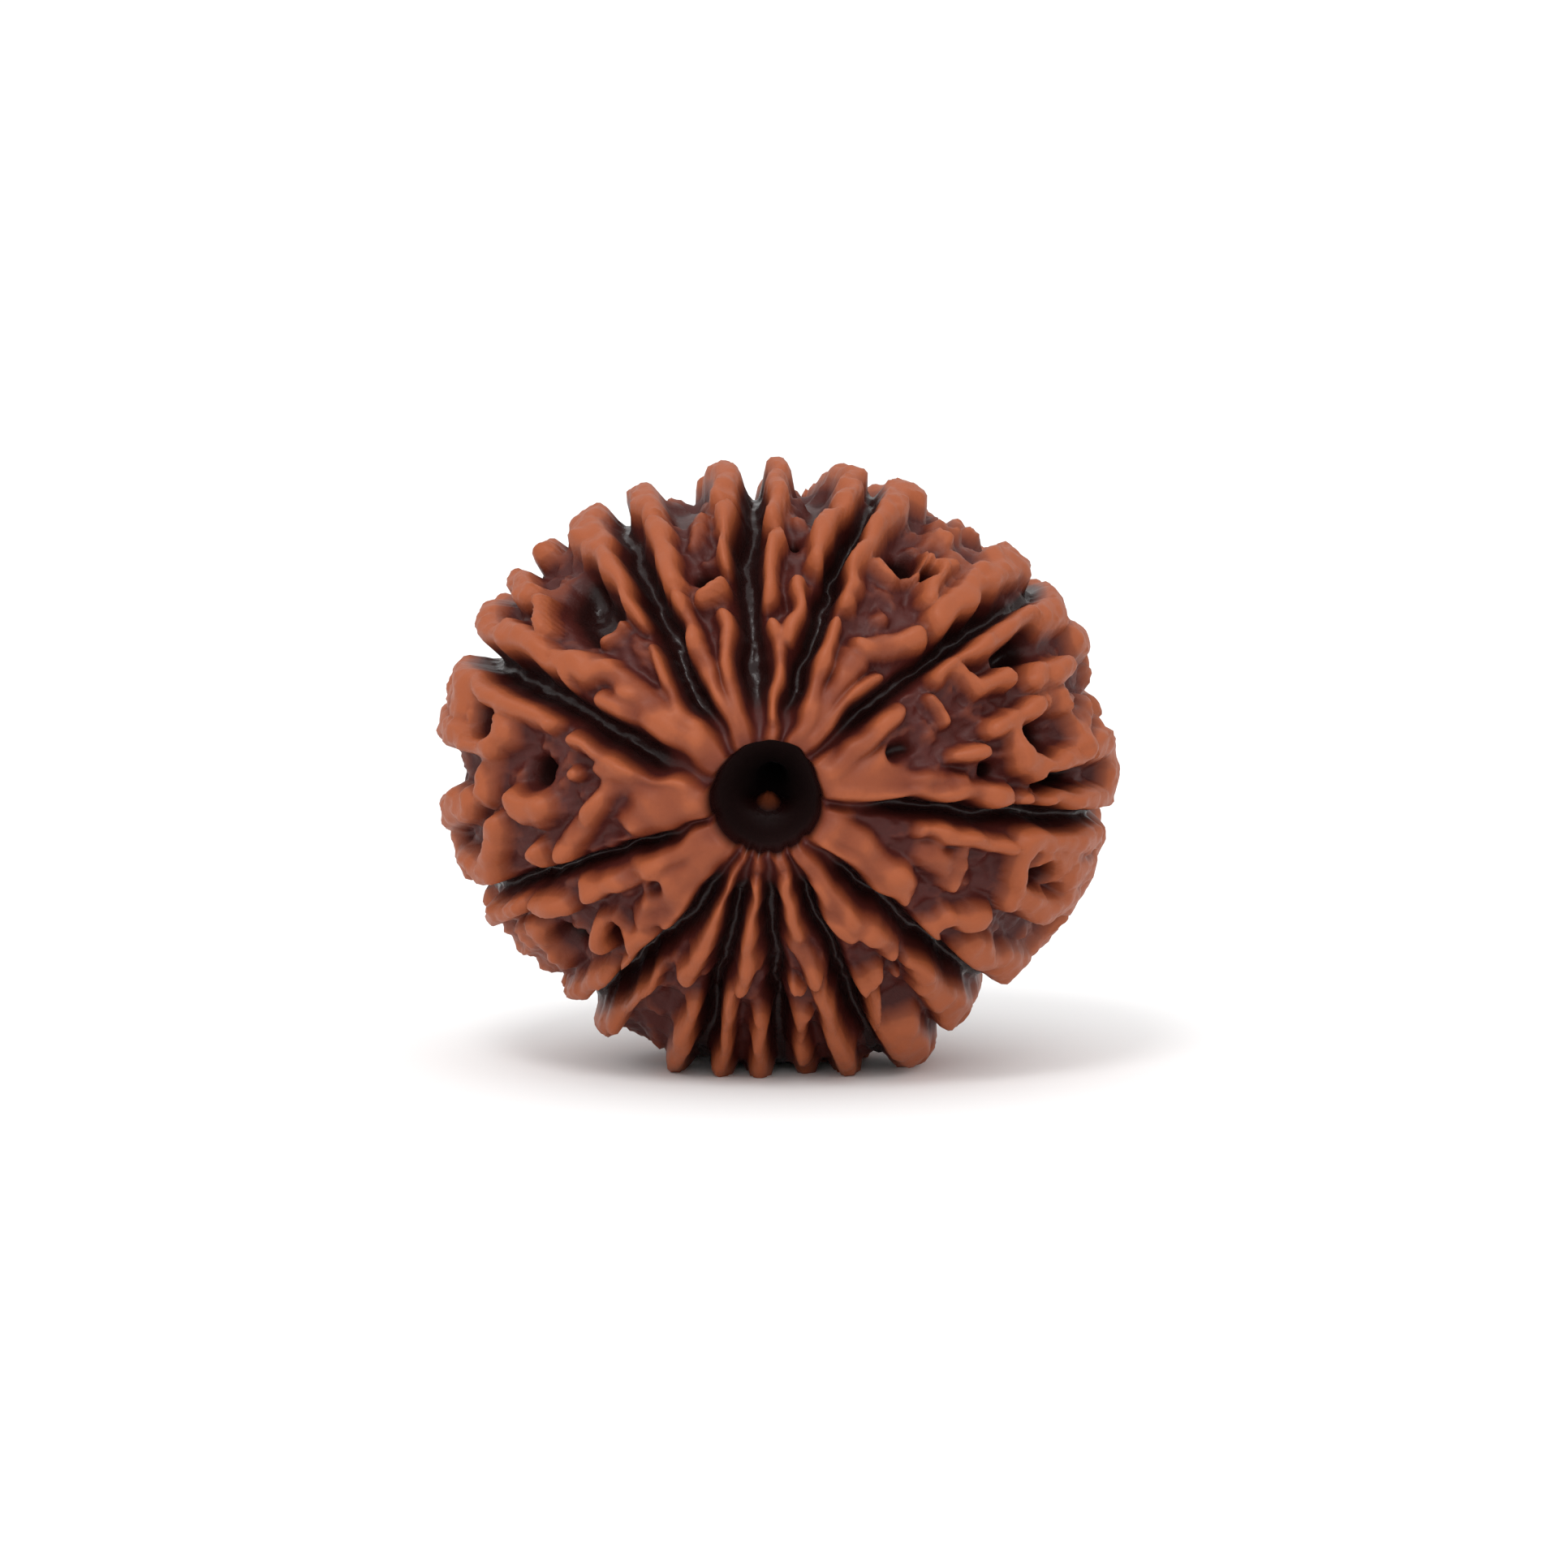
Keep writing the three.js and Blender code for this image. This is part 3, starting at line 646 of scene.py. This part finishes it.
for number, face in enumerate(FACES):
    for stroke in face.pits:
        blackness = np.clip(stroke.rise / FULL_BLACK, 0, 1) * ones
        for path in [stroke.path, on_far_half(number, stroke.path)]:
            cut(stroke.half, -stroke.rise * ones, path, ones, blackness)
for face in FACES:
    on_belt = GROOVE_BELT[0] - np.ptp(GROOVE_BELT) * smoothstep(face.wide, *GROOVE_WIDE)
    floor_here = groove_floor + (on_belt - groove_floor) * belt
    path = [(groove_lon(face.groove, c), c) for c in GROOVE_COLATS]
    cut(face.wide, floor_here, path, groove_spread, smoothstep(near, *BLACK_EASE))
height += blackening * GRIT * np.array([noise.noise(Vector(point / GRIT_SIZE)) for point in core_points])
print(f"deepest cut {height.min():.2f} mm below the core")

# %% [markdown]
# ## The canal and the worn spot
# Inside the mouth the hole drops steeply and then narrows to a canal, where a stump of fibre is left on
# the floor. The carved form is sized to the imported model's box, and the knobs that it stands on are worn
# level.

# %% Shape the foot and the canal
STUMP_RISE, STUMP_Y = 0.9, -5.9
STUMP_LON, STUMP_SPREAD, STUMP_LENGTH = 264, 44, 0.6
FOOT_LOW, FOOT_EASE = (0.8, 0.93), (55, 80)  # how low on the rim, and the colats, where the foot sets in
foot = FLAT_DEPTH * smoothstep(-np.sin(np.radians(lon)), *FOOT_LOW) * smoothstep(near, *FOOT_EASE)
points = core_points + core_normals * (height + foot)[:, None]
canal = ~outer
rim_radius = CORE[0] * np.sin(np.radians(edge[canal]))
turned_radius = np.hypot(turned[canal, 0], turned[canal, 2])
narrowing = (turned_radius - CANAL_RADIUS) / (THROAT_SHARE * mouth_radius - CANAL_RADIUS)
depth_in = turned[canal, 1]
stump = dome((lon[canal] - STUMP_LON) / STUMP_SPREAD) * dome((depth_in - STUMP_Y) / STUMP_LENGTH)
radius = CANAL_RADIUS + (THROAT_SHARE * rim_radius - CANAL_RADIUS) * narrowing - STUMP_RISE * stump
angle = np.radians(lon[canal])
points[canal] = np.stack([radius * np.cos(angle), depth_in, radius * np.sin(angle)], axis=-1)
print(f"{canal.sum()} points in the canal, narrowest {radius.min():.2f} mm from its axis")

# %% Size it to the box and wear the resting spot
points -= (points.max(0) + points.min(0)) / 2 * [1, 1, 0]
points *= np.array([WIDTH / 2, LENGTH / 2, HEIGHT / 2]) / points.max(0)
points[:, 2] = np.maximum(points[:, 2] + HEIGHT / 2, 0)
points += (low + high) / 2 * [1, 1, 0] + low * [0, 0, 1]
mesh.vertices.foreach_set("co", (points * MM).ravel())
mesh.polygons.foreach_set("use_smooth", np.ones(len(mesh.polygons), bool))
mesh.update()
bead = bpy.data.objects.new("bead_stone", mesh)
bpy.context.collection.objects.link(bead)
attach(bead, "root")
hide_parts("bead")
print(f"bead: {len(mesh.polygons) * 2} triangles")

# %% [markdown]
# ## Height, painted shade and blackening as attributes
# Colour here follows the relief: tops are orange-brown, lower ground is purple-brown, and the grooves and
# pits are turned black. The height of each vertex, how far it lies below its neighbours, which paints
# shade into the hollows and a highlight onto the tips, and how black it is turned are stored on the mesh,
# so that the material can follow the carving exactly.

# %% Store the relief on the mesh
SHADE_BLUR_STEPS = 36
pairs = np.empty(len(mesh.edges) * 2, int)
mesh.edges.foreach_get("vertices", pairs)
pairs = pairs.reshape(-1, 2)
neighbours = np.bincount(pairs.ravel(), minlength=len(points))


def average(values):
    total = np.bincount(pairs[:, 0], weights=values[pairs[:, 1]], minlength=len(values))
    total += np.bincount(pairs[:, 1], weights=values[pairs[:, 0]], minlength=len(values))
    return total / neighbours


FIBRE_HEIGHT = 1.3  # the stump is as brown as a crest
CANAL_SHADE = 2  # painted shade: the canal is black, and dull
height[canal] = FIBRE_HEIGHT
# the canal, all but the stump, is painted black as shade
blackening[canal] = CANAL_SHADE * (1 - stump)
# how far each point lies below its neighbours: it paints shade into the hollows and a highlight onto the
# tips of the crests
around = height
for _ in range(SHADE_BLUR_STEPS):
    around = average(around)
for name, values in [("height", height), ("shade_and_highlight", around - height), ("blackening", blackening)]:
    mesh.attributes.new(name, "FLOAT", "POINT").data.foreach_set("value", values.astype(np.float32))
print(f"height {height.min():.2f} to {height.max():.2f} mm, hollow up to {(around - height).max():.2f} mm")

# %% [markdown]
# ## The stone's finish
# The stone is hard and has been oiled and handled. One Principled shader is enough: a ramp on the height
# gives the main colours, the hollows are darkened as painted shade and the tips lightened as a painted
# highlight, the cuts are turned black and glossy, and the canal is turned black as painted shade. One
# noise breaks up the colour, and a finer one gives the surface its grain.

# %% Material of the stone
stone = bpy.data.materials.new("oiled_stone")
stone.use_nodes = True
nodes, links = stone.node_tree.nodes, stone.node_tree.links
shader = nodes["Principled BSDF"]


def add(kind, **values):
    node = nodes.new(kind)
    for key, value in values.items():
        if key in node.inputs:
            node.inputs[key].default_value = value
        else:
            setattr(node, key, value)
    return node


def ramp(source, stops):
    node = add("ShaderNodeValToRGB")
    links.new(source, node.inputs["Fac"])
    elements = node.color_ramp.elements
    while len(elements) < len(stops):
        elements.new(0.5)
    for element, (position, colour) in zip(elements, stops):
        element.position = position
        element.color = (*colour, 1)
    return node.outputs["Color"]


def to_unit(source, lowest, highest):
    node = add("ShaderNodeMapRange")
    links.new(source, node.inputs["Value"])
    node.inputs["From Min"].default_value = lowest
    node.inputs["From Max"].default_value = highest
    return node.outputs["Result"]


height_node = add("ShaderNodeAttribute", attribute_name="height")
shade_and_highlight_node = add("ShaderNodeAttribute", attribute_name="shade_and_highlight")
blackening_node = add("ShaderNodeAttribute", attribute_name="blackening")
place = add("ShaderNodeTexCoord").outputs["Object"]
COLOUR_LOW, COLOUR_TOP = -0.5, 1.9  # heights in mm at the two ends of the colours
# the second shift paints shade into the hollows and a highlight onto the tips of the crests
PATCH_SHIFT, SHADE_AND_HIGHLIGHT_SHIFT = 0.22, -0.42
BLACK_SHOWS = (0.1, 0.8)
STONE_ROUGH, OIL_ROUGH, CANAL_ROUGH = 0.48, 0.22, 0.95
BLACK, PURPLE, BROWN = (0.016, 0.004, 0.0035), (0.066, 0.011, 0.008), (0.165, 0.034, 0.0135)
# the last and lightest colour is a painted highlight on the tips of the crests
ORANGE, HIGHLIGHT_ORANGE = (0.23, 0.054, 0.02), (0.31, 0.077, 0.027)
patches = add("ShaderNodeTexNoise", Scale=900.0, Detail=3.0, Roughness=0.6)
links.new(place, patches.inputs["Vector"])
unit = to_unit(height_node.outputs["Fac"], COLOUR_LOW, COLOUR_TOP)
shifted = add("ShaderNodeMath", operation="MULTIPLY_ADD")
links.new(patches.outputs["Fac"], shifted.inputs[0])
shifted.inputs[1].default_value = PATCH_SHIFT
links.new(unit, shifted.inputs[2])
# painted shade in the hollows, painted highlight on the tips
shade_and_highlight_shift = add("ShaderNodeMath", operation="MULTIPLY_ADD")
links.new(shade_and_highlight_node.outputs["Fac"], shade_and_highlight_shift.inputs[0])
shade_and_highlight_shift.inputs[1].default_value = SHADE_AND_HIGHLIGHT_SHIFT
links.new(shifted.outputs[0], shade_and_highlight_shift.inputs[2])
colour = ramp(
    shade_and_highlight_shift.outputs[0],
    [(0.0, BLACK), (0.22, PURPLE), (0.48, PURPLE), (0.7, BROWN), (0.9, ORANGE), (1.0, HIGHLIGHT_ORANGE)],
)
# the grooves and pits turn black by their depth, and the canal turns black as painted shade
blackened = add("ShaderNodeMix", data_type="RGBA")
links.new(to_unit(blackening_node.outputs["Fac"], *BLACK_SHOWS), blackened.inputs["Factor"])
links.new(colour, blackened.inputs["A"])
blackened.inputs["B"].default_value = (*BLACK, 1)
links.new(blackened.outputs["Result"], shader.inputs["Base Color"])
gloss = ramp(
    to_unit(blackening_node.outputs["Fac"], 0, CANAL_SHADE),
    [(0.0, (STONE_ROUGH,) * 3), (0.5, (OIL_ROUGH,) * 3), (1.0, (CANAL_ROUGH,) * 3)],
)
links.new(gloss, shader.inputs["Roughness"])
shader.inputs["Specular IOR Level"].default_value = 0.22
grain = add("ShaderNodeTexNoise", Scale=5200.0, Detail=4.0, Roughness=0.6)
links.new(place, grain.inputs["Vector"])
bump_node = add("ShaderNodeBump", Strength=0.35, Distance=0.00006)
links.new(grain.outputs["Fac"], bump_node.inputs["Height"])
links.new(bump_node.outputs["Normal"], shader.inputs["Normal"])
mesh.materials.append(stone)
print("stone:", len(nodes), "nodes")

# %% [markdown]
# ## Camera, floor and light
# The photograph looks down on the bead from a little above, and slightly from the right. A long lens far
# away keeps the bead's proportions.

# %% Camera at the photograph's angle
IMAGE_SIDE = 1932
PIXELS_PER_MM = 32.46
BEAD_PIXEL = (958, 938)  # middle of the bead's outline
AZIMUTH, ELEVATION = math.radians(2.3), math.radians(8.5)
DISTANCE = 0.7
right = Vector((math.cos(AZIMUTH), math.sin(AZIMUTH), 0))
forward = Vector((-math.sin(AZIMUTH), math.cos(AZIMUTH), 0))
back = Vector((0, 0, math.sin(ELEVATION))) - forward * math.cos(ELEVATION)
up = back.cross(right)
camera = bpy.data.objects.new("camera", bpy.data.cameras.new("camera"))
bpy.context.collection.objects.link(camera)
frame_width = IMAGE_SIDE / PIXELS_PER_MM * MM
camera.data.lens = camera.data.sensor_width * DISTANCE / frame_width
aside, below = ((pixel - IMAGE_SIDE / 2) / PIXELS_PER_MM * MM for pixel in BEAD_PIXEL)
aim = Vector(((low + high) / 2 * MM).tolist()) - right * aside + up * below
turn = Matrix((right, up, back)).transposed().to_4x4()
camera.matrix_world = Matrix.Translation(aim + back * DISTANCE) @ turn
bpy.context.scene.camera = camera
print(f"lens {camera.data.lens:.0f} mm, frame {frame_width / MM:.1f} mm wide")

# %% Floor
FLOOR_HALF = 3.0
floor_mesh = bpy.data.meshes.new("floor")
floor_bm = bmesh.new()
bmesh.ops.create_grid(floor_bm, x_segments=1, y_segments=1, size=FLOOR_HALF)
floor_bm.to_mesh(floor_mesh)
floor_bm.free()
floor = bpy.data.objects.new("floor", floor_mesh)
bpy.context.collection.objects.link(floor)
floor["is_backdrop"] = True
pale = bpy.data.materials.new("pale_floor")
pale.use_nodes = True
pale.node_tree.nodes["Principled BSDF"].inputs["Base Color"].default_value = (0.9, 0.9, 0.9, 1)
pale.node_tree.nodes["Principled BSDF"].inputs["Roughness"].default_value = 0.9
floor_mesh.materials.append(pale)
print("floor:", 2 * FLOOR_HALF, "m wide")

# %% Lights
world = bpy.data.worlds.new("studio")
bpy.context.scene.world = world
world.use_nodes = True
world_nodes, world_links = world.node_tree.nodes, world.node_tree.links
direction = world_nodes.new("ShaderNodeTexCoord")
upward = world_nodes.new("ShaderNodeSeparateXYZ")
brightness = world_nodes.new("ShaderNodeMapRange")
world_links.new(direction.outputs["Generated"], upward.inputs["Vector"])
world_links.new(upward.outputs["Z"], brightness.inputs["Value"])
world_links.new(brightness.outputs["Result"], world_nodes["Background"].inputs["Strength"])
world_nodes["Background"].inputs["Color"].default_value = (1, 1, 1, 1)
brightness.inputs["To Min"].default_value = 0.72
brightness.inputs["To Max"].default_value = 1.2


def softbox(name, place, side, watts):
    lamp = bpy.data.lights.new(name, "AREA")
    lamp.shape = "SQUARE"
    lamp.size = side
    lamp.energy = watts
    obj = bpy.data.objects.new(name, lamp)
    bpy.context.collection.objects.link(obj)
    obj.location = place
    obj.rotation_euler = (Vector(place) - aim).to_track_quat("Z", "Y").to_euler()


softbox("top_light", place=(-0.1, -0.3, 0.5), side=0.14, watts=0.8)
sun = bpy.data.lights.new("sky_light", "SUN")
sun.energy = 0.8
sun.angle = math.radians(80)
sky = bpy.data.objects.new("sky_light", sun)
bpy.context.collection.objects.link(sky)
sky.rotation_euler = (math.radians(48), math.radians(-8), 0)
bpy.context.scene.view_settings.view_transform = "Standard"

# %% Sizes, and the end of the lesson
boxes = {"cad": cad_box, "visual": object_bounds()}
boxes = {name: [list(corner) for corner in box] for name, box in boxes.items()}
print(boxes)
